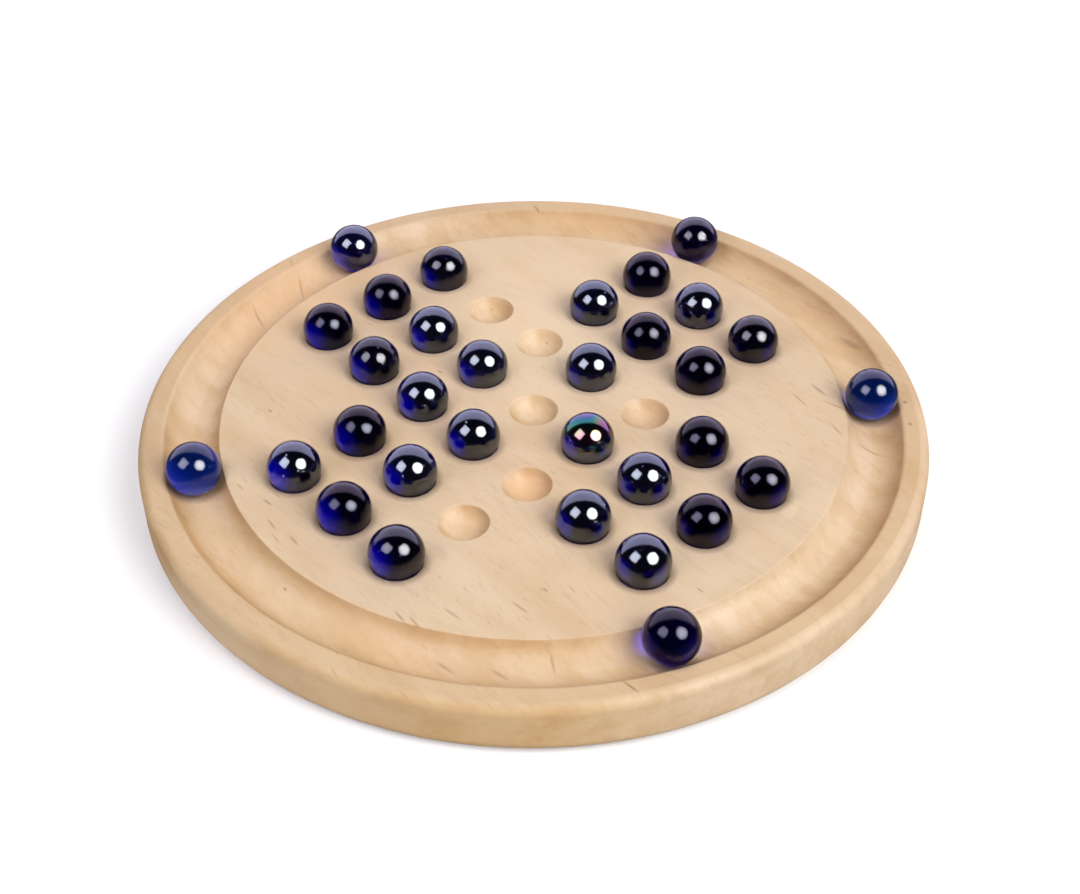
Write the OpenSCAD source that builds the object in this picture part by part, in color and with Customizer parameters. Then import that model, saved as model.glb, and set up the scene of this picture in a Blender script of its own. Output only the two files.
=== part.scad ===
// A round wooden solitaire board, turned in one piece, with its glass marbles.
// Twenty-seven marbles lie in a cross of thirty-three cups, and the five that
// have been taken off the cross lie in the groove round the rim.
// Millimetres, +Z up. The origin is the middle of the board's underside, and
// the rows of cups run along X and Y.

/* [Board] */
// Diameter of the turned board
board_d = 239; // [222:1:300]
// Thickness of the board
board_t = 18; // [10:0.5:30]
// Radius of the rounding between the rim's top and the outer wall
edge_round = 3; // [0.5:0.25:6]
// Radius of the rounding between the outer wall and the underside
foot_round = 5; // [0.5:0.25:9]

/* [Rim groove] */
// Distance from the board's outer wall to the middle of the groove
groove_inset = 16; // [14:0.25:24]
// Depth of the groove below the top face
groove_depth = 5.1; // [2:0.1:7]
// Extra radius of the groove's cove over a marble's own radius
groove_ease = 1.3; // [0.3:0.05:2]
// Radius of the rounding between the groove and the rim's top
ridge_round = 1.5; // [0.2:0.05:2]

/* [Cups] */
// Distance between the middles of neighbouring cups
cup_pitch = 24; // [18:0.25:27]
// Depth of a cup below the top face
cup_depth = 4.6; // [2:0.1:6]
// Extra radius of a cup over a marble's own radius
cup_ease = 0.3; // [0.15:0.05:1]
// Radius of the sanded lips of the cups and of the groove's inner side
lip_round = 0.5; // [0.2:0.05:1.5]

/* [Marbles] */
// Diameter of a glass marble
marble_d = 16; // [12:0.25:20]
// Gap between a resting marble and the wood under it
rest_gap = 0.1; // [0.05:0.01:0.3]

/* [Hidden] */
$fn = 96;

// Radii and heights that follow from the sizes above
board_r = board_d / 2;
marble_r = marble_d / 2;
cup_r = marble_r + cup_ease;
cove_r = marble_r + groove_ease;
groove_r = board_r - groove_inset;

// How far a lip's arc bites into its hollow's arc, so that the two cross
// at a true corner and don't merely touch
lip_bite = 0.01;

// The game as it stands, seen from above with +Y up the page. A dot is a cup
// whose marble is off the cross. A letter is the finish of the marble in a cup:
// c is deep cobalt glass, l is cobalt with a pearly lustre, r a rainbow lustre.
GAME = [
    "  cll  ",
    "  lcc  ",
    "l..l.cc",
    "cll.rlc",
    "clll.ll",
    "  cl.  ",
    "  lcl  "
];
// Where the five marbles off the cross lie in the groove, in degrees round from
// +X, and their finishes: b is a clearer blue glass
groove_angles = [50, 106, 174.5, 245, 338.7];
groove_finishes = "bllbc";

// A cup is its column and row in the game above
cup_rows = [0 : len(GAME) - 1];
cups = [for (row = cup_rows) for (column = cup_rows) if (GAME[row][column] != " ") [column, row]];
function finish_in(cup) = GAME[cup[1]][cup[0]];
filled_cups = [for (cup = cups) if (finish_in(cup) != ".") cup];
middle_row = (len(GAME) - 1) / 2;
function cup_place(cup) = cup_pitch * [cup[0] - middle_row, middle_row - cup[1]];

// Cups are called by a letter along X and a number along Y: d4 is the middle
function cup_name(cup) = str(chr(ord("a") + cup[0]), len(GAME) - cup[1]);
function cup_marble_name(cup) = str("marble_", cup_name(cup));
function groove_marble_name(k) = str("groove_marble_", k + 1);

function glass_colour(finish) =
    finish == "l" ? "slateblue" :
    finish == "r" ? "mediumorchid" :
    finish == "b" ? "royalblue" : "midnightblue";

// Upright section of a round hollow, such as a cup's or the groove's, with its
// middle on x = 0 and the face that it is cut into at y = 0. Each lip is an arc
// that runs from the face into the hollow's own arc. The lip on the +x side may
// have a radius of its own.
module hollow_section(hollow_r, depth, outer_lip = lip_round) {
    rise = hollow_r - depth;
    lips = [[-1, lip_round], [1, outer_lip]];
    function drop(lip) = lip[1] - lip_bite;
    function reach(lip) = lip[0] * sqrt(pow(hollow_r + drop(lip), 2) - pow(rise + drop(lip), 2));
    difference() {
        union() {
            translate([0, rise]) circle(hollow_r);
            for (lip = lips)
                polygon([[reach(lip), -drop(lip)], [0, rise], [reach(lip), rise]]);
        }
        for (lip = lips)
            translate([reach(lip), -drop(lip)]) circle(lip[1]);
    }
}

// The half of a section that a revolve turns round
module right_half(reach) {
    intersection() {
        children();
        translate([0, -reach]) square([reach, 2 * reach]);
    }
}

// Upright section of the board from its middle to its wall
module board_section() {
    wall_top = board_t - edge_round;
    difference() {
        union() {
            square([board_r - foot_round, wall_top]);
            square([board_r - edge_round, board_t]);
            translate([0, foot_round]) square([board_r, wall_top - foot_round]);
            translate([board_r - foot_round, foot_round]) circle(foot_round);
            translate([board_r - edge_round, wall_top]) circle(edge_round);
        }
        translate([groove_r, board_t]) hollow_section(cove_r, groove_depth, ridge_round);
    }
}

module cup_cutter() {
    rotate_extrude() right_half(2 * marble_d) hollow_section(cup_r, cup_depth);
}

module board() {
    color("burlywood") difference() {
        rotate_extrude() board_section();
        for (cup = cups)
            translate(cup_place(cup)) translate([0, 0, board_t]) cup_cutter();
    }
}

module marble() {
    sphere(d = marble_d);
}

// A marble at rest in a cup
module cup_marble(cup) {
    rest_z = board_t - cup_depth + rest_gap + marble_r;
    translate(cup_place(cup)) translate([0, 0, rest_z])
        color(glass_colour(finish_in(cup))) marble();
}

// A marble at rest in the groove
module groove_marble(k) {
    rest_z = board_t - groove_depth + rest_gap + marble_r;
    rotate(groove_angles[k]) translate([groove_r, 0, rest_z])
        color(glass_colour(groove_finishes[k])) marble();
}

board();
for (cup = filled_cups)
    cup_marble(cup);
for (k = [0 : len(groove_angles) - 1])
    groove_marble(k);
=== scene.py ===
"""The looks of a marble solitaire board: a turned wooden disc and its glass marbles.

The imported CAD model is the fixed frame. Lengths are in metres unless a name says
otherwise, +Z is up, and the origin is the middle of the board's underside.
"""

import math
import random

import bmesh
import bpy
from mathutils import Matrix, Quaternion, Vector


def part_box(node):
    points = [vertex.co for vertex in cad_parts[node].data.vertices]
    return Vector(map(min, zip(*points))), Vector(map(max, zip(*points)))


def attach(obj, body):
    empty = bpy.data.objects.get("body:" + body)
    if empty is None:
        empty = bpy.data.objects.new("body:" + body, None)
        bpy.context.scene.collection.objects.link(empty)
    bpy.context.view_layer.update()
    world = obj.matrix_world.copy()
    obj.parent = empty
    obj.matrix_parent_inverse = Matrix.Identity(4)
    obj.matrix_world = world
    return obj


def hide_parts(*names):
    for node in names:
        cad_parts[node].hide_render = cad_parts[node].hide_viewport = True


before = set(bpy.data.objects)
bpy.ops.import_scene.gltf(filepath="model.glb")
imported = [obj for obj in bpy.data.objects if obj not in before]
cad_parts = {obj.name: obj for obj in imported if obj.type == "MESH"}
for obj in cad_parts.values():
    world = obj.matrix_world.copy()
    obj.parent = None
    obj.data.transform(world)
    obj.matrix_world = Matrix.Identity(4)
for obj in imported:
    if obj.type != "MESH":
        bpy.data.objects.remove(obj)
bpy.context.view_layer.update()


# The camera
# It stands in front of the board and to its right, above the table, where the
# photograph was taken. Its place, its aim and its lens follow from the grid of cups.
# Its azimuth, elevation and roll are in degrees.
MM = 0.001
SENSOR_WIDTH_MM = 36
LENS_MM = 57.17
NEAREST_SEEN = 10 * MM
CAMERA_AZIMUTH = 48.24
CAMERA_ELEVATION = 40.74
CAMERA_ROLL = -0.245
CAMERA_DISTANCE = 511 * MM
CAMERA_AIM = Vector((14.26, -10.17, 18.0)) * MM


def direction(azimuth, elevation):
    """The way from the board to a place seen from it: azimuth 0 is -Y and 90 is +X."""
    a, e = math.radians(azimuth), math.radians(elevation)
    return Vector((math.sin(a) * math.cos(e), -math.cos(a) * math.cos(e), math.sin(e)))


camera = bpy.data.objects.new("camera", bpy.data.cameras.new("camera"))
bpy.context.scene.collection.objects.link(camera)
camera.data.sensor_width = SENSOR_WIDTH_MM
camera.data.lens = LENS_MM
camera.data.clip_start = NEAREST_SEEN
to_camera = direction(CAMERA_AZIMUTH, CAMERA_ELEVATION)
camera.location = CAMERA_AIM + to_camera * CAMERA_DISTANCE
roll = Quaternion((0, 0, 1), math.radians(CAMERA_ROLL))
camera.rotation_mode = "QUATERNION"
camera.rotation_quaternion = (-to_camera).to_track_quat("-Z", "Y") @ roll
bpy.context.scene.camera = camera


# The board
# One disc of pale close-grained hardwood, turned on a lathe and sanded: a coved
# groove runs round the rim, thirty-three spherical cups are bored in a cross with
# a ball-nosed cutter, and every edge is softened by hand. The grain runs along X.
board_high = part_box("board")[1]
BOARD_R = board_high.x
BOARD_T = board_high.z
EDGE_ROUND = 3 * MM
FOOT_ROUND = 5 * MM
LIP_ROUND = 0.5 * MM
RIDGE_ROUND = 1.5 * MM
GROOVE_R = BOARD_R - 16 * MM
COVE_R = 9.3 * MM
COVE_DEPTH = 5.1 * MM
CUP_R = 8.3 * MM
CUP_DEPTH = 4.6 * MM
CUP_PITCH = 24 * MM

# The flat strip beside each rounding, which keeps the rounding's shading off the
# flat faces, and into how many faces each arc of a section and each turn is cut
FLAT_MARGIN = 0.3 * MM
COVE_STEPS = 36
COVE_LIP_STEPS = 7
RIDGE_STEPS = 12
EDGE_STEPS = 12
FOOT_STEPS = 14
BOARD_TURN_STEPS = 288
CUP_STEPS = 16
CUP_LIP_STEPS = 6
CUP_TURN_STEPS = 64
SAME_PLACE = 1e-6

# The game as it stands, seen from above with +Y up the page. A dot is an empty
# cup. A letter is a marble's finish: c cobalt glass, m cobalt with a thin lustre,
# l with a full lustre, r with a rainbow lustre.
GAME = [
    "  clm  ",
    "  lcc  ",
    "m..l.cc",
    "cll.rlc",
    "cmll.ll",
    "  cl.  ",
    "  lcm  ",
]


def cup_places():
    """(cup name, finish, x, y) of each cup; a1 is at the low end of X and Y."""
    middle = len(GAME) // 2
    for row, line in enumerate(GAME):
        for column, finish in enumerate(line):
            if finish != " ":
                name = "abcdefg"[column] + str(len(GAME) - row)
                yield name, finish, (column - middle) * CUP_PITCH, (middle - row) * CUP_PITCH


def line_to(bm, start, x, z):
    """Draws a straight stretch of a section from a vertex to (x, z)."""
    drawn = bmesh.ops.extrude_vert_indiv(bm, verts=[start])
    drawn["verts"][0].co = (x, 0, z)
    return drawn["verts"][0]


def arc_to(bm, start, centre_x, centre_z, angle, steps):
    """Draws an arc of a section from a vertex; a positive angle turns +Z to +X."""
    drawn = bmesh.ops.spin(bm, geom=[start], cent=(centre_x, 0, centre_z), axis=(0, 1, 0),
                           angle=angle, steps=steps, use_merge=False, use_duplicate=False)
    return [v for v in drawn["geom_last"] if isinstance(v, bmesh.types.BMVert)][0]


def lip_angle(hollow_r, depth, lip_r=LIP_ROUND):
    """How far round a hollow's arc reaches from straight down to its softened lip."""
    return math.acos((hollow_r - depth + lip_r) / (hollow_r + lip_r))


def lip_reach(hollow_r, depth, lip_r=LIP_ROUND):
    """From the middle of a hollow to where its softened lip meets the face."""
    return (hollow_r + lip_r) * math.sin(lip_angle(hollow_r, depth, lip_r))


def turn_on_lathe(bm, steps):
    """Turns a section once round the Z axis and closes its seam and middle."""
    bmesh.ops.spin(bm, geom=bm.verts[:] + bm.edges[:], cent=(0, 0, 0), axis=(0, 0, 1),
                   angle=math.tau, steps=steps, use_merge=True, use_duplicate=False)
    bmesh.ops.remove_doubles(bm, verts=bm.verts, dist=SAME_PLACE)


def turned_rim():
    """The groove, the rim, the outer wall and the underside, turned as one skin."""
    bm = bmesh.new()
    inner_angle = lip_angle(COVE_R, COVE_DEPTH)
    inner_edge = GROOVE_R - lip_reach(COVE_R, COVE_DEPTH)
    ridge_angle = lip_angle(COVE_R, COVE_DEPTH, RIDGE_ROUND)
    ridge_edge = GROOVE_R + lip_reach(COVE_R, COVE_DEPTH, RIDGE_ROUND)
    cove_angle = -(inner_angle + ridge_angle)
    # the inner lip, the cove and the ridge
    pen = bm.verts.new((inner_edge - FLAT_MARGIN, 0, BOARD_T))
    pen = line_to(bm, pen, inner_edge, BOARD_T)
    pen = arc_to(bm, pen, inner_edge, BOARD_T - LIP_ROUND, inner_angle, COVE_LIP_STEPS)
    pen = arc_to(bm, pen, GROOVE_R, BOARD_T - COVE_DEPTH + COVE_R, cove_angle, COVE_STEPS)
    pen = arc_to(bm, pen, ridge_edge, BOARD_T - RIDGE_ROUND, ridge_angle, RIDGE_STEPS)
    # the rim's top and its rounded edge
    pen = line_to(bm, pen, ridge_edge + FLAT_MARGIN, BOARD_T)
    pen = line_to(bm, pen, BOARD_R - EDGE_ROUND - FLAT_MARGIN, BOARD_T)
    pen = line_to(bm, pen, BOARD_R - EDGE_ROUND, BOARD_T)
    pen = arc_to(bm, pen, BOARD_R - EDGE_ROUND, BOARD_T - EDGE_ROUND, math.pi / 2, EDGE_STEPS)
    # the wall, the foot and the underside
    pen = line_to(bm, pen, BOARD_R, BOARD_T - EDGE_ROUND - FLAT_MARGIN)
    pen = line_to(bm, pen, BOARD_R, FOOT_ROUND + FLAT_MARGIN)
    pen = line_to(bm, pen, BOARD_R, FOOT_ROUND)
    pen = arc_to(bm, pen, BOARD_R - FOOT_ROUND, FOOT_ROUND, math.pi / 2, FOOT_STEPS)
    pen = line_to(bm, pen, BOARD_R - FOOT_ROUND - FLAT_MARGIN, 0)
    line_to(bm, pen, 0, 0)
    turn_on_lathe(bm, BOARD_TURN_STEPS)
    return bm


def bored_cup():
    """One cup, from its flat margin over the lip to its lowest point."""
    bm = bmesh.new()
    angle = lip_angle(CUP_R, CUP_DEPTH)
    half = lip_reach(CUP_R, CUP_DEPTH)
    pen = bm.verts.new((half + FLAT_MARGIN, 0, BOARD_T))
    pen = line_to(bm, pen, half, BOARD_T)
    pen = arc_to(bm, pen, half, BOARD_T - LIP_ROUND, -angle, CUP_LIP_STEPS)
    arc_to(bm, pen, 0, BOARD_T - CUP_DEPTH + CUP_R, angle, CUP_STEPS)
    turn_on_lathe(bm, CUP_TURN_STEPS)
    return bm


def add_shape(bm, shape, place):
    """Adds a copy of one bmesh to another at a place."""
    mesh = bpy.data.meshes.new("shape")
    shape.to_mesh(mesh)
    mesh.transform(Matrix.Translation(place))
    bm.from_mesh(mesh)
    bpy.data.meshes.remove(mesh)


def finished_object(name, bm, material):
    """Makes a smooth object at the origin from a bmesh, and frees the bmesh."""
    mesh = bpy.data.meshes.new(name)
    for face in bm.faces:
        face.smooth = True
    bm.to_mesh(mesh)
    bm.free()
    made = bpy.data.objects.new(name, mesh)
    bpy.context.scene.collection.objects.link(made)
    mesh.materials.append(material)
    return made


def new_material(name):
    """A material, its node tree and the Principled shader that it starts with."""
    material = bpy.data.materials.new(name)
    material.use_nodes = True
    tree = material.node_tree
    return material, tree, tree.nodes["Principled BSDF"]


def link(tree, *pairs):
    """Links sockets given as (from, to) pairs."""
    for start, end in pairs:
        tree.links.new(start, end)


def feed(tree, sockets, values):
    """Gives sockets their values: other sockets, numbers, colours or vectors."""
    for socket, value in zip(sockets, values):
        if isinstance(value, bpy.types.NodeSocket):
            link(tree, (value, socket))
        elif socket.type == "RGBA":
            socket.default_value = (*value, 1)
        else:
            socket.default_value = value


def math_node(tree, operation, *values, clamp=False):
    """A Math node on sockets or numbers."""
    node = tree.nodes.new("ShaderNodeMath")
    node.operation = operation
    node.use_clamp = clamp
    feed(tree, node.inputs, values)
    return node.outputs["Value"]


def product(tree, first, *others):
    """The product of sockets and numbers."""
    for other in others:
        first = math_node(tree, "MULTIPLY", first, other)
    return first


def one_minus(tree, value):
    """1 less a value."""
    return math_node(tree, "SUBTRACT", 1.0, value)


def vector_node(tree, operation, *values):
    """A Vector Math node on sockets or vectors: a number where it measures them."""
    node = tree.nodes.new("ShaderNodeVectorMath")
    node.operation = operation
    feed(tree, node.inputs, values)
    measures = operation in ("LENGTH", "DISTANCE", "DOT_PRODUCT")
    return node.outputs["Value" if measures else "Vector"]


def x_y_z(tree, vector):
    """The three parts of a vector."""
    node = tree.nodes.new("ShaderNodeSeparateXYZ")
    link(tree, (vector, node.inputs["Vector"]))
    return node.outputs["X"], node.outputs["Y"], node.outputs["Z"]


def on_object(tree, scale=(1, 1, 1), place=(0, 0, 0), turn=(0, 0, 0), kind="POINT", base=None):
    """Object coordinates, or a base that is made from them, moved, turned and scaled."""
    mapping = tree.nodes.new("ShaderNodeMapping")
    mapping.vector_type = kind
    mapping.inputs["Location"].default_value = place
    mapping.inputs["Rotation"].default_value = turn
    mapping.inputs["Scale"].default_value = scale
    base = base or tree.nodes.new("ShaderNodeTexCoord").outputs["Object"]
    link(tree, (base, mapping.inputs["Vector"]))
    return mapping.outputs["Vector"]


def ramp(tree, value, low, high, out_low=0.0, out_high=1.0):
    """A smooth step of a value from one range to another."""
    node = tree.nodes.new("ShaderNodeMapRange")
    node.interpolation_type = "SMOOTHSTEP"
    node.inputs["From Min"].default_value = low
    node.inputs["From Max"].default_value = high
    node.inputs["To Min"].default_value = out_low
    node.inputs["To Max"].default_value = out_high
    link(tree, (value, node.inputs["Value"]))
    return node.outputs["Result"]


def noise(tree, vector, scale=1.0, detail=2.0, roughness=0.5, output="Fac"):
    """A noise texture's value, or its colour."""
    node = tree.nodes.new("ShaderNodeTexNoise")
    node.inputs["Scale"].default_value = scale
    node.inputs["Detail"].default_value = detail
    node.inputs["Roughness"].default_value = roughness
    link(tree, (vector, node.inputs["Vector"]))
    return node.outputs[output]


def drawn_out(tree, per_metre, start=(0, 0, 0), detail=2.0, roughness=0.5, base=None):
    """Noise with so many lumps to the metre along X, Y and Z."""
    return noise(tree, on_object(tree, per_metre, start, base=base), 1.0, detail, roughness)


def tint(tree, colour, amount, other, blend="MIX"):
    """Mixes another colour over a colour by an amount."""
    node = tree.nodes.new("ShaderNodeMix")
    node.data_type = "RGBA"
    node.blend_type = blend
    sockets = {socket.name: socket for socket in node.inputs if socket.enabled}
    feed(tree, (sockets["Factor"], sockets["A"], sockets["B"]), (amount, colour, other))
    return next(socket for socket in node.outputs if socket.enabled)


def blot(tree, place_mm, turn_degrees, radii_mm, depth):
    """A depth in the middle of a soft ellipsoid fixed in the piece, and 0 outside it."""
    turn = (0, 0, math.radians(turn_degrees))
    scale = tuple(r * MM for r in radii_mm)
    place = tuple(p * MM for p in place_mm)
    away = vector_node(tree, "LENGTH", on_object(tree, scale, place, turn, "TEXTURE"))
    return ramp(tree, away, 1.0, 0.25, 0.0, depth)


def emboss(tree, shader, height, distance, strength=1.0):
    """Raises a shader's surface by a height times a distance."""
    bump = tree.nodes.new("ShaderNodeBump")
    bump.inputs["Strength"].default_value = strength
    bump.inputs["Distance"].default_value = distance
    link(tree, (height, bump.inputs["Height"]), (bump.outputs["Normal"], shader.inputs["Normal"]))


# The wood's own tones, the brown of its streaks and its pores, and the dark brown of the painted
# shade round the balls
SPRING_WOOD = (0.668, 0.510, 0.326)
SUMMER_WOOD = (0.614, 0.440, 0.260)
PALE_DRIFT = (0.705, 0.560, 0.378)
WARM_DRIFT = (0.640, 0.447, 0.258)
PINK_DRIFT = (0.655, 0.465, 0.350)
STREAK_BROWN = (0.50, 0.335, 0.195)
PORE_BROWN = (0.40, 0.240, 0.115)
PAINTED_BALL_SHADE = (0.085, 0.045, 0.025)

# What multiplies them where the wood is clouded, cut and mottled, where it is painted lighter
# facing the right-hand softbox, where its steep sides and outer wall are painted in shade facing
# away from it, and where the rim is handled
CLOUD_SHADE = (0.93, 0.890, 0.825)
CUT_SHADE = (1.02, 1.010, 0.985)
MOTTLE_SHADE = (0.92, 0.87, 0.80)
PAINTED_KEY_LIGHT = (1.00, 1.02, 1.10)
PAINTED_STEEP_SHADE = (0.90, 0.80, 0.66)
PAINTED_WALL_SHADE = (1.02, 0.980, 0.87)
HANDLED_SHADE = (0.910, 0.845, 0.755)

# The grain wanders from side to side and in depth. The growth rings lie a centimetre
# apart round a heart that was below and behind the board, and wander too.
GRAIN_WANDER = (0, 16 * MM, 8 * MM)
HEART_MM = Vector((0, 38, -150))
RING_WANDER_MM = 26.0
RING_PHASE_PER_MM = 0.62

# Where the groove, the handled rim and the outer wall set in, from the middle of the
# board, and the way to the right-hand softbox, whose light is painted on the sides turned to it
GROOVE_SETS_IN_MM = (90, 94)
RIM_SETS_IN_MM = (98, 112)
WALL_SETS_IN_MM = (114, 116)
KEY_LAMP_WAY = (0.98, 0.18, 0)

# The marks on this piece of wood: warm end grain, pale patches, darkened patches and dull
# stains, then the small flecks, dashes and curled lines. The pale patches on the front wall and
# its rounded edge are painted light. Each has its middle in mm, its turn about Z in degrees,
# its three radii in mm and its depth.
WARM_PATCHES = ((0.72, 0.455, 0.235), (
    ((-98, -18, 16), 0, (34, 58, 30), 0.50),
    ((-70, 89, 14), 35, (26, 14, 12), 0.30),
    ((40, -92, 14), 5, (40, 9, 6), 0.25),
    ((24, -24, 14), 0, (12, 10, 6), 0.60),
))
PALE_PATCHES_AND_PAINTED_LIGHT = ((0.84, 0.65, 0.42), (
    ((-30, 30, 20), 0, (85, 105, 5.5), 0.38),
    # painted light on the front wall, in this patch and the next
    ((42, -112, 8), 20, (36, 12, 13), 0.30),
    ((0, -118, 6), 0, (36, 8, 11), 0.55),
    ((96, 25, 17), 105, (14, 2.5, 3), 0.45),
    ((83, 24, 18), 100, (6, 3, 2), 0.40),
    # painted light on the rounded edge at the front
    ((4, -119, 15), 0, (34, 5, 4), 0.45),
))
DARK_PATCHES = ((0.46, 0.31, 0.15), (
    ((-68, -98, 10), -35, (40, 14, 15), 0.78),
    ((95, -9, 18), 80, (16, 7, 4), 0.16),
    ((116, -24, 17), 78, (22, 6, 5), 0.28),
))
DULL_STAINS = ((0.40, 0.33, 0.20), (
    ((-32.3, -111.7, 14), -16, (8, 4, 6), 0.24),
    ((-6.9, -117.4, 14), -3, (6, 3, 5), 0.15),
    ((8.1, -117.7, 14), 4, (6, 3, 5), 0.12),
    ((-110, -42, 17), -69, (34, 9, 6), 0.18),
    ((102.0, -55.1, 9), 10, (2.5, 3.5, 6), 0.30),
))
SMALL_MARKS = ((0.27, 0.145, 0.070), (
    ((99.7, -55.8, 18), 3, (4.0, 0.45, 1.2), 0.80),
    ((101.0, -60.5, 11), 12, (1.6, 1.6, 7.5), 0.40),
    ((73.0, -60.2, 16), 20, (2.2, 2.2, 1.6), 0.60),
    ((77.4, -62.5, 13.6), -30, (5.0, 0.7, 2.5), 0.45),
    ((59.3, -84.3, 13.5), 8, (4.6, 0.8, 2.5), 0.45),
    ((71.0, -75.2, 13.5), 10, (4.0, 0.8, 2.5), 0.45),
    ((49.5, -73.3, 18), 6, (4.8, 0.65, 1.0), 0.40),
    ((59.8, -58.3, 18), 3, (4.4, 0.65, 1.0), 0.38),
    ((-20.2, -84.5, 18), 4, (2.8, 0.6, 1.0), 0.45),
    ((-30.8, -86.6, 18), -4, (2.8, 0.6, 1.0), 0.36),
    ((-6.3, -91.5, 17), -8, (3.8, 0.65, 2.0), 0.50),
    ((-2.1, -88.2, 18), -6, (3.4, 0.6, 1.0), 0.46),
    ((-11.8, -89.0, 18), -10, (4.0, 0.6, 1.0), 0.46),
    ((40.8, -84.4, 18), -8, (3.6, 0.65, 1.0), 0.46),
    ((45.2, -82.8, 18), -8, (4.0, 0.65, 1.0), 0.44),
    ((52.0, 71.9, 18), -8, (5.0, 0.8, 1.0), 0.46),
    ((40.4, 101.0, 15), -8, (7.0, 1.2, 3.0), 0.45),
    ((-82.8, 75.6, 18), -10, (3.6, 0.7, 1.5), 0.55),
    ((-53.6, -60.1, 18), 5, (1.2, 0.6, 1.0), 0.60),
    ((-33.7, -9.3, 18), 0, (1.4, 0.6, 1.0), 0.50),
    ((-51.6, 27.1, 14), 10, (1.3, 0.6, 1.5), 0.65),
    ((-25.4, 28.4, 14), 0, (1.2, 0.6, 1.5), 0.60),
    ((20.3, -42.7, 14), 0, (1.2, 0.7, 1.5), 0.60),
    ((8.2, -99.1, 13.4), 0, (1.2, 0.6, 1.5), 0.60),
    ((59.5, -48.9, 18), 5, (1.4, 0.5, 1.0), 0.55),
    ((87.7, -17.7, 18), 5, (1.8, 0.5, 1.0), 0.50),
    ((73.7, 87.1, 18), 0, (1.0, 0.9, 1.0), 0.70),
    ((81.4, 79.9, 18), 0, (1.0, 0.9, 1.0), 0.70),
    ((51.4, 63.9, 18), -12, (5.0, 0.6, 1.0), 0.40),
    ((61.0, 70.0, 18), 14, (6.0, 0.6, 1.0), 0.40),
    ((68.0, 61.5, 18), -16, (5.5, 0.6, 2.0), 0.40),
    ((78.0, 66.0, 13.4), 12, (6.5, 0.7, 3.0), 0.40),
    ((-114.0, -8.8, 16.4), -28, (4.5, 0.6, 3.0), 0.50),
    ((-104.5, -12.0, 14), -28, (8.0, 0.6, 4.0), 0.45),
    ((-100.5, -32.2, 14), -15, (9.0, 0.6, 4.0), 0.45),
    ((-88.0, -69.0, 14), -32, (4.5, 0.7, 4.0), 0.45),
))
MARKS = (WARM_PATCHES, PALE_PATCHES_AND_PAINTED_LIGHT, DARK_PATCHES, DULL_STAINS, SMALL_MARKS)


def wandering_grain(tree):
    """Object coordinates that wander a little from side to side, as the grain does."""
    straight = on_object(tree)
    bend = noise(tree, straight, 16, 1.0, output="Color")
    return vector_node(tree, "MULTIPLY_ADD", bend, GRAIN_WANDER, straight)


def toned_wood(tree, grain, streak):
    """Growth rings, broad drifts of tone and fine streaks."""
    from_heart = on_object(tree, (0, 1000, 1000), -HEART_MM, base=grain)
    wander = product(tree, drawn_out(tree, (6, 40, 40), detail=3.0), RING_WANDER_MM)
    ring = math_node(tree, "ADD", vector_node(tree, "LENGTH", from_heart), wander)
    ring = math_node(tree, "SINE", product(tree, ring, RING_PHASE_PER_MM))
    pale = drawn_out(tree, (9, 30, 30), detail=3.0, roughness=0.55)
    warm = drawn_out(tree, (11, 22, 40), (4, 1, 2))
    pink = drawn_out(tree, (14, 34, 34), (1, 7, 5))
    clouds = drawn_out(tree, (24, 48, 48), (6, 2, 8), 4.0, 0.6)
    colour = tint(tree, SPRING_WOOD, ramp(tree, ring, -1.0, 1.0, 0.0, 0.45), SUMMER_WOOD)
    colour = tint(tree, colour, ramp(tree, pale, 0.30, 0.75, 0.0, 0.40), PALE_DRIFT)
    colour = tint(tree, colour, ramp(tree, warm, 0.42, 0.68, 0.0, 0.38), WARM_DRIFT)
    colour = tint(tree, colour, ramp(tree, pink, 0.45, 0.70, 0.0, 0.16), PINK_DRIFT)
    colour = tint(tree, colour, ramp(tree, clouds, 0.46, 0.70, 0.0, 0.90), CLOUD_SHADE, "MULTIPLY")
    return tint(tree, colour, ramp(tree, streak, 0.48, 0.76, 0.0, 0.30), STREAK_BROWN)


def pore_dashes(tree, grain, length_mm, width_mm, rare, seed):
    """Short dashes along the grain: the nearer rare is to 1, the fewer there are."""
    per_metre = (1000 / length_mm, 1000 / width_mm, 0)
    dashes = drawn_out(tree, per_metre, (seed, 2 * seed, 0), detail=1.0, base=grain)
    return ramp(tree, dashes, rare, rare + 0.11)


def open_pores(tree, grain, up):
    """Long and short pores, gathered in loose rows, where the top was cut."""
    dashes = math_node(tree, "MAXIMUM", pore_dashes(tree, grain, 6.0, 1.0, 0.65, 0.0),
                   pore_dashes(tree, grain, 3.2, 0.65, 0.67, 5.0))
    rows = ramp(tree, drawn_out(tree, (14, 34, 34), (3, 3, 3), 3.0), 0.42, 0.62, 0.15, 1.0)
    return product(tree, dashes, rows, ramp(tree, up, 0.3, 0.8))


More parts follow.
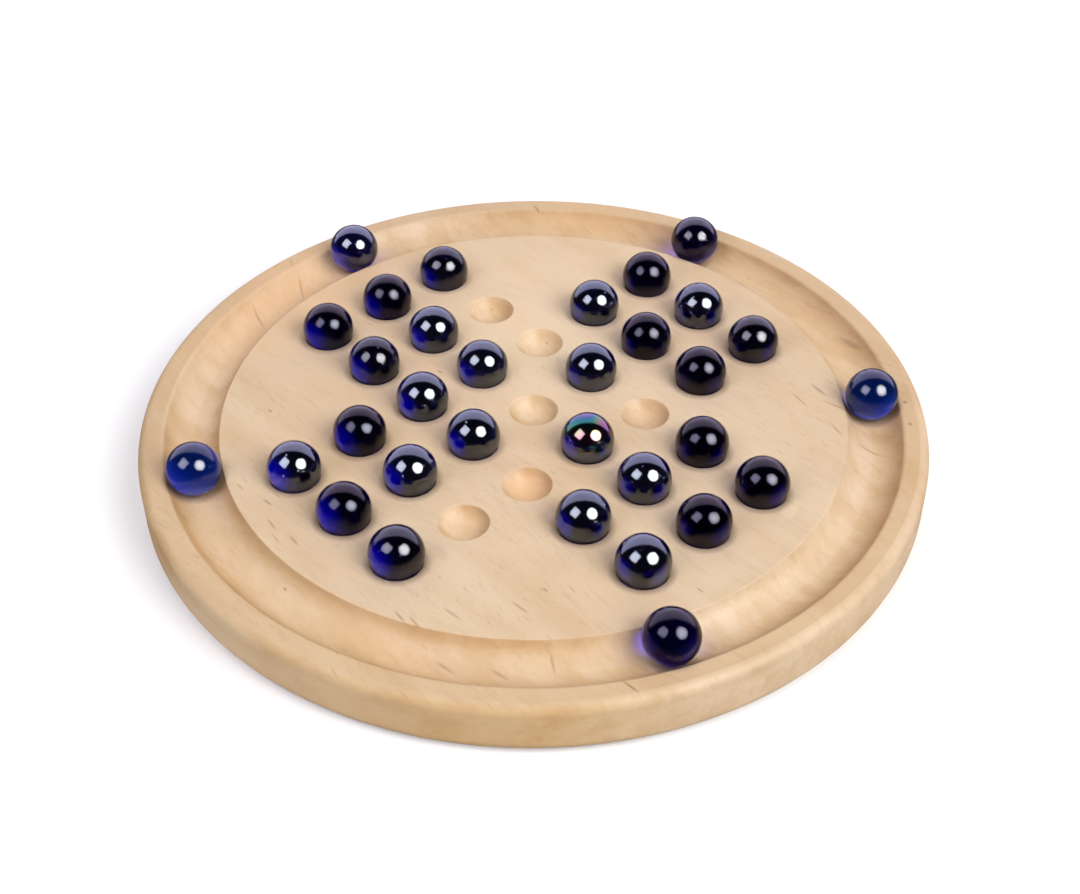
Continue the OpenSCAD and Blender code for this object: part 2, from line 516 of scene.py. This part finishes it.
def cut_worn_and_painted_light(tree, colour, place, normal, from_middle_mm):
    """Below the sanded top the wood is a little warmer and mottled. Sides turned to the
    right-hand softbox are painted lighter, and steep sides, most at the front, and the outer wall
    are painted in orange shade where they turn away from it. The rim was darkened by hands,
    less where it is painted lighter facing the softbox."""
    _, y, z = x_y_z(tree, place)
    up = x_y_z(tree, normal)[2]
    below = ramp(tree, z, BOARD_T - 0.05 * MM, BOARD_T - 0.45 * MM)
    mottle = ramp(tree, drawn_out(tree, (55, 120, 120), (2, 9, 4), 3.0, 0.6), 0.40, 0.66)

    # how far a side is turned to the right-hand softbox, whatever its slope, which paints it lighter
    sideways = vector_node(tree, "LENGTH", vector_node(tree, "MULTIPLY", normal, (1, 1, 0)))
    to_key_lamp = vector_node(tree, "DOT_PRODUCT", normal, KEY_LAMP_WAY)
    to_key_lamp = math_node(tree, "DIVIDE", to_key_lamp, math_node(tree, "MAXIMUM", sideways, 0.05))
    lit_by_key_lamp = ramp(tree, to_key_lamp, 0.60, 0.90)

    wall = ramp(tree, from_middle_mm, *WALL_SETS_IN_MM)
    # painted shade on steep sides turned away from the softbox; the handled rim is painted lighter
    # where turned to it
    shaded_steep = product(tree, ramp(tree, up, 0.98, 0.60), one_minus(tree, lit_by_key_lamp))
    shaded_steep_inside = product(tree, shaded_steep, one_minus(tree, wall), ramp(tree, y, 0.09, 0.03, 0.45, 1.0))
    handled_unless_lit = one_minus(tree, product(tree, lit_by_key_lamp, 0.75))
    handled_unless_lit = product(tree, ramp(tree, from_middle_mm, *RIM_SETS_IN_MM), handled_unless_lit)
    for amount, shade in (
        (below, CUT_SHADE),
        (product(tree, below, mottle), MOTTLE_SHADE),
        (product(tree, below, lit_by_key_lamp), PAINTED_KEY_LIGHT),
        (shaded_steep_inside, PAINTED_STEEP_SHADE),
        (product(tree, shaded_steep, wall), PAINTED_WALL_SHADE),
        (handled_unless_lit, HANDLED_SHADE),
    ):
        colour = tint(tree, colour, amount, shade, "MULTIPLY")
    return colour


def painted_shade_round_balls(tree, colour, place, from_middle_mm):
    """Painted shade darkens the wood round each ball, under the lip of its cup and in the groove,
    where the ball shuts out light.
    """
    crevice = tree.nodes.new("ShaderNodeAmbientOcclusion")
    crevice.samples = 2
    crevice.inputs["Distance"].default_value = 2.6 * MM
    at_lip = ramp(tree, x_y_z(tree, place)[2], BOARD_T - 1.4 * MM, BOARD_T - 0.5 * MM)
    in_groove = ramp(tree, from_middle_mm, *GROOVE_SETS_IN_MM, 0.0, 0.7)
    # painted shade: darker where the occlusion test finds a ball close by
    ball_shade = product(tree, ramp(tree, crevice.outputs["AO"], 0.78, 0.36, 0.0, 0.85),
                    math_node(tree, "MAXIMUM", at_lip, in_groove))
    return tint(tree, colour, ball_shade, PAINTED_BALL_SHADE)


def turned_hardwood():
    """Pale hardwood with its grain along X, sanded, oiled and used, with painted light and shade on
    its sides and round the balls.
    """
    material, tree, shader = new_material("turned_hardwood")
    surface = tree.nodes.new("ShaderNodeTexCoord")
    place, normal = surface.outputs["Object"], surface.outputs["Normal"]
    from_middle_mm = vector_node(tree, "LENGTH", on_object(tree, (1000, 1000, 0)))
    grain = wandering_grain(tree)
    streak = drawn_out(tree, (90, 520, 520), detail=3.0, roughness=0.6, base=grain)
    pore = open_pores(tree, grain, x_y_z(tree, normal)[2])

    colour = toned_wood(tree, grain, streak)
    colour = tint(tree, colour, product(tree, pore, 0.40), PORE_BROWN)
    colour = cut_worn_and_painted_light(tree, colour, place, normal, from_middle_mm)
    colour = painted_shade_round_balls(tree, colour, place, from_middle_mm)
    for mark_colour, listed in MARKS:
        for mark in listed:
            colour = tint(tree, colour, blot(tree, *mark), mark_colour)
    satin = ramp(tree, drawn_out(tree, (60, 260, 260)), 0.3, 0.7, 0.50, 0.62)
    link(tree, (colour, shader.inputs["Base Color"]), (satin, shader.inputs["Roughness"]))
    shader.inputs["Specular IOR Level"].default_value = 0.2
    shader.inputs["Coat Weight"].default_value = 0.05
    shader.inputs["Coat Roughness"].default_value = 0.35
    shader.inputs["Coat IOR"].default_value = 1.45

    # pores are sunk and the harder streaks stand proud
    height = math_node(tree, "ADD", product(tree, pore, -0.5), product(tree, streak, 0.25))
    emboss(tree, shader, height, 0.1 * MM, 0.35)
    return material


board_bm = turned_rim()
cup = bored_cup()
for _, _, cup_x, cup_y in cup_places():
    add_shape(board_bm, cup, (cup_x, cup_y, 0))
cup.free()
open_edges = [e for e in board_bm.edges if e.is_boundary]
bmesh.ops.triangle_fill(board_bm, use_beauty=True, use_dissolve=False, edges=open_edges)
bmesh.ops.remove_doubles(board_bm, verts=board_bm.verts, dist=SAME_PLACE)
bmesh.ops.recalc_face_normals(board_bm, faces=board_bm.faces)
turned_board = finished_object("turned_board", board_bm, turned_hardwood())
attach(turned_board, "board")
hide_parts("board")


# The marbles
# Thirty-two machine-made 16 mm glass marbles, gathered and rolled while soft, so
# each is round to a few hundredths of a millimetre. Most are deep cobalt glass.
MARBLE_RINGS = 60

# The faint hollows where a ball was rolled: how far each reaches over the ball and
# how deep it is, as shares of the radius
HOLLOWS = 6
HOLLOW_REACH = 0.45
HOLLOW_DEPTH = 0.0014


def marble_shape(node, seed):
    """A glass ball in a CAD marble's place, drawn in a little where it was rolled."""
    low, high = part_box(node)
    centre = (low + high) / 2
    radius = (high.z - low.z) / 2
    bm = bmesh.new()
    bmesh.ops.create_uvsphere(bm, u_segments=2 * MARBLE_RINGS, v_segments=MARBLE_RINGS, radius=radius)
    dice = random.Random(seed)
    hollows = [Vector([dice.gauss(0, 1) for _ in range(3)]).normalized() for _ in range(HOLLOWS)]
    for vertex in bm.verts:
        outward = vertex.co.normalized()
        drawn_in = sum(math.exp(-((outward - h).length / HOLLOW_REACH) ** 2) for h in hollows)
        vertex.co = outward * radius * (1 - HOLLOW_DEPTH * drawn_in)
    turn = Quaternion([dice.gauss(0, 1) for _ in range(4)]).normalized()
    bmesh.ops.rotate(bm, verts=bm.verts, cent=(0, 0, 0), matrix=turn.to_matrix())
    bmesh.ops.translate(bm, verts=bm.verts, vec=centre)
    return bm


# What the glass absorbs of red, green and blue in a metre, its index, and the least
# thickness of a rainbow film
COBALT = (330, 430, 60)
CLEAR_BLUE = (430, 238, 58)
SODA_LIME_IOR = 1.52
THIN_SKIN_NM = 55


def glass(name, absorbed, film_nm, film_ior):
    """Soda-lime glass that takes its colour from its depth. The film on it gives a
    lustre if its index is higher than the glass's, and takes some shine away if it
    is lower."""
    material, tree, shader = new_material(name)
    shader.inputs["Base Color"].default_value = (1, 1, 1, 1)
    shader.inputs["Roughness"].default_value = 0.0
    shader.inputs["IOR"].default_value = SODA_LIME_IOR
    shader.inputs["Transmission Weight"].default_value = 1.0
    shader.inputs["Thin Film Thickness"].default_value = film_nm
    shader.inputs["Thin Film IOR"].default_value = film_ior

    # a little over the strongest absorption, so that no part of the colour is 0
    density = 1.02 * max(absorbed)
    depth = tree.nodes.new("ShaderNodeVolumeAbsorption")
    depth.inputs["Color"].default_value = (*[1 - share / density for share in absorbed], 1)
    depth.inputs["Density"].default_value = density
    link(tree, (depth.outputs["Volume"], tree.nodes["Material Output"].inputs["Volume"]))
    return material


def fire_lustre(material):
    """A lustre is fired on as a skin that isn't quite smooth, with a few small pits."""
    tree = material.node_tree
    skin = product(tree, noise(tree, on_object(tree), 620), 0.07)
    cells = tree.nodes.new("ShaderNodeTexVoronoi")
    cells.inputs["Scale"].default_value = 330
    link(tree, (on_object(tree), cells.inputs["Vector"]))
    pits = ramp(tree, cells.outputs["Distance"], 0.02, 0.12)
    emboss(tree, tree.nodes["Principled BSDF"], math_node(tree, "ADD", skin, pits), 0.2 * MM)


def spread_rainbow(material):
    """The rainbow film, in nanometres, is thickest on the ball's front left, with a pool
    at its upper right, and below the ball's middle it runs out to a thin skin."""
    tree = material.node_tree
    front_left = vector_node(tree, "DOT_PRODUCT", on_object(tree), (2000, -6300, 0))
    swirl = ramp(tree, noise(tree, on_object(tree), 150, 1.0), 0.3, 0.7, 256, 290)
    pool = blot(tree, place_mm=(28.0, 4.6, 27.0), turn_degrees=0, radii_mm=(6.5, 6.5, 6.5), depth=135)
    film = math_node(tree, "ADD", math_node(tree, "ADD", swirl, front_left), pool)
    height = x_y_z(tree, on_object(tree))[2]
    upper = ramp(tree, height, BOARD_T + 4 * MM, BOARD_T + 7.5 * MM)
    film = math_node(tree, "ADD", product(tree, film, upper), THIN_SKIN_NM)
    link(tree, (film, tree.nodes["Principled BSDF"].inputs["Thin Film Thickness"]))


plain = glass("cobalt_ball", COBALT, film_nm=104, film_ior=1.41)
thin_lustre = glass("cobalt_ball_thin_lustre", COBALT, film_nm=98, film_ior=1.49)
full_lustre = glass("cobalt_ball_full_lustre", COBALT, film_nm=64, film_ior=1.67)
clear_blue = glass("blue_ball", CLEAR_BLUE, film_nm=98, film_ior=1.49)
rainbow = glass("cobalt_ball_rainbow", COBALT, film_nm=60, film_ior=1.8)
for fired in (thin_lustre, full_lustre, rainbow):
    fire_lustre(fired)
spread_rainbow(rainbow)

FINISHES = {
    "c": (plain, "cobalt_glass"),
    "m": (thin_lustre, "lustre_glass"),
    "l": (full_lustre, "lustre_glass"),
    "r": (rainbow, "rainbow_glass"),
    "b": (clear_blue, "clear_blue_glass"),
}
GROOVE_FINISHES = "bmlbc"
FIRST_GROOVE_SEED = 100


def set_marble(name, finish, seed):
    """Makes one marble in its CAD node's place and sets it on that node's body."""
    material, slot = FINISHES[finish]
    made = finished_object("glass_" + name, marble_shape(name, seed), material)
    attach(made, name)
    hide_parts(name)


for number, (cup_name, finish, _, _) in enumerate(cup_places()):
    if finish != ".":
        set_marble("marble_" + cup_name, finish, number)
for number, finish in enumerate(GROOVE_FINISHES):
    set_marble(f"groove_marble_{number + 1}", finish, FIRST_GROOVE_SEED + number)


# The table, the backdrop and the lamps
# A white table under a white backdrop, with a large round softbox to the right of
# the camera and a smaller square one, on its corner, to the left. The room behind
# the camera is dark.
def softbox(name, shape, size, place, power, colour, rim, shine, gathered):
    """A softbox whose face is brightest in the middle, and the extra light that glass
    shows of it: a photograph's blacks are deeper than a plain render's, and beside
    them whatever glass mirrors or gathers looks brighter."""
    for step, (part, share) in enumerate((("_light", 1), ("_shine", shine), ("_gathered", gathered))):
        lamp = bpy.data.lights.new(name + part, "AREA")
        lamp.shape = shape
        lamp.size = size
        lamp.energy = power * share
        lamp.color = colour
        lamp.use_nodes = True
        tree = lamp.node_tree
        on_face = tree.nodes.new("ShaderNodeNewGeometry").outputs["Parametric"]
        away = product(tree, vector_node(tree, "DISTANCE", on_face, (0.5, 0.5, 0)), 2.0)
        face = math_node(tree, "MULTIPLY_ADD", math_node(tree, "POWER", away, 2.0), rim - 1, 1.0)
        link(tree, (face, tree.nodes["Emission"].inputs["Strength"]))
        made = bpy.data.objects.new(name + part, lamp)
        bpy.context.scene.collection.objects.link(made)
        # each stands a little behind the one before, so that none hides another
        made.location = place * (1 + 0.01 * step)
        made.rotation_mode = "QUATERNION"
        made.rotation_quaternion = (-place).to_track_quat("-Z", "Y")
        made.visible_diffuse = part == "_light"
        made.visible_glossy = part != "_gathered"
        made.visible_transmission = part != "_shine"


softbox("right_softbox", "DISK", size=1.74, place=direction(CAMERA_AZIMUTH + 52.3, 44.2) * 2.0,
        power=61, colour=(1.0, 0.985, 0.985), rim=0.20, shine=1.8, gathered=0.75)
softbox("left_softbox", "SQUARE", size=1.03, place=direction(CAMERA_AZIMUTH - 56.6, 47.9) * 1.6,
        power=13, colour=(0.86, 0.84, 1.0), rim=0.75, shine=1.25, gathered=0.6)

# The table is a plain light grey, and dark in what glass mirrors. To the camera it
# also glows, up to white, but little beside the board, where the shadow lies.
TABLE_R = 4.0
TABLE_GREY = (0.78, 0.78, 0.78)
MIRRORED_TABLE_GREY = (0.10, 0.10, 0.11)
table_bm = bmesh.new()
bmesh.ops.create_circle(table_bm, cap_ends=True, segments=96, radius=TABLE_R)
table_material, table_tree, table_shader = new_material("white_table")
table_shader.inputs["Roughness"].default_value = 0.9
table_shader.inputs["Specular IOR Level"].default_value = 0.0
table_shader.inputs["Emission Color"].default_value = (1, 1, 1, 1)
table_ray = table_tree.nodes.new("ShaderNodeLightPath").outputs
table_mirrored = math_node(table_tree, "SUBTRACT", table_ray["Is Glossy Ray"],
                           table_ray["Is Transmission Ray"], clamp=True)
table_colour = tint(table_tree, TABLE_GREY, table_mirrored, MIRRORED_TABLE_GREY)
far_off = vector_node(table_tree, "LENGTH", on_object(table_tree))
table_glow = product(table_tree, ramp(table_tree, far_off, 0.3, 1.6, 0.25, 1.0),
                     table_ray["Is Camera Ray"])
link(table_tree, (table_colour, table_shader.inputs["Base Color"]),
     (table_glow, table_shader.inputs["Emission Strength"]))
table = finished_object("white_table", table_bm, table_material)

# What is round the board: white to the camera on every side, and to the wood and
# the glass a backdrop behind the board, in a cone round the way ahead, with a dark
# room on the other sides. Glass mirrors the backdrop brighter and a little violet.
BACKDROP_EDGE = math.cos(math.radians(72))
BACKDROP_FULL = math.cos(math.radians(59))
BACKDROP_LIGHT = 0.60
BACKDROP_SHINE = 3.3
ROOM_LIGHT = 0.20
ROOM_SHINE = 0.008
VIOLET_CAST = (0.98, 0.90, 1.34)
world = bpy.data.worlds.new("studio")
bpy.context.scene.world = world
world.use_nodes = True
sky = world.node_tree
look = sky.nodes.new("ShaderNodeTexCoord").outputs["Generated"]
sky_ray = sky.nodes.new("ShaderNodeLightPath").outputs
ahead = vector_node(sky, "DOT_PRODUCT", look, direction(CAMERA_AZIMUTH + 180, 0))
backdrop = ramp(sky, ahead, BACKDROP_EDGE, BACKDROP_FULL)
room = math_node(sky, "MULTIPLY_ADD", sky_ray["Is Glossy Ray"], ROOM_SHINE - ROOM_LIGHT, ROOM_LIGHT)
sky_mirrored = product(sky, sky_ray["Is Glossy Ray"], one_minus(sky, sky_ray["Is Transmission Ray"]))
shine = math_node(sky, "MULTIPLY_ADD", sky_mirrored, BACKDROP_SHINE - 1, 1.0)
strength = product(sky, math_node(sky, "MULTIPLY_ADD", backdrop, BACKDROP_LIGHT, room), shine)
strength = math_node(sky, "MAXIMUM", strength, sky_ray["Is Camera Ray"])
cast = tint(sky, (1, 1, 1), sky_mirrored, VIOLET_CAST)
link(sky, (cast, sky.nodes["Background"].inputs["Color"]),
     (strength, sky.nodes["Background"].inputs["Strength"]))

bpy.context.scene.view_settings.view_transform = "Standard"
# the light that the balls gather in their cups stays sharp
bpy.context.scene.cycles.blur_glossy = 0.0
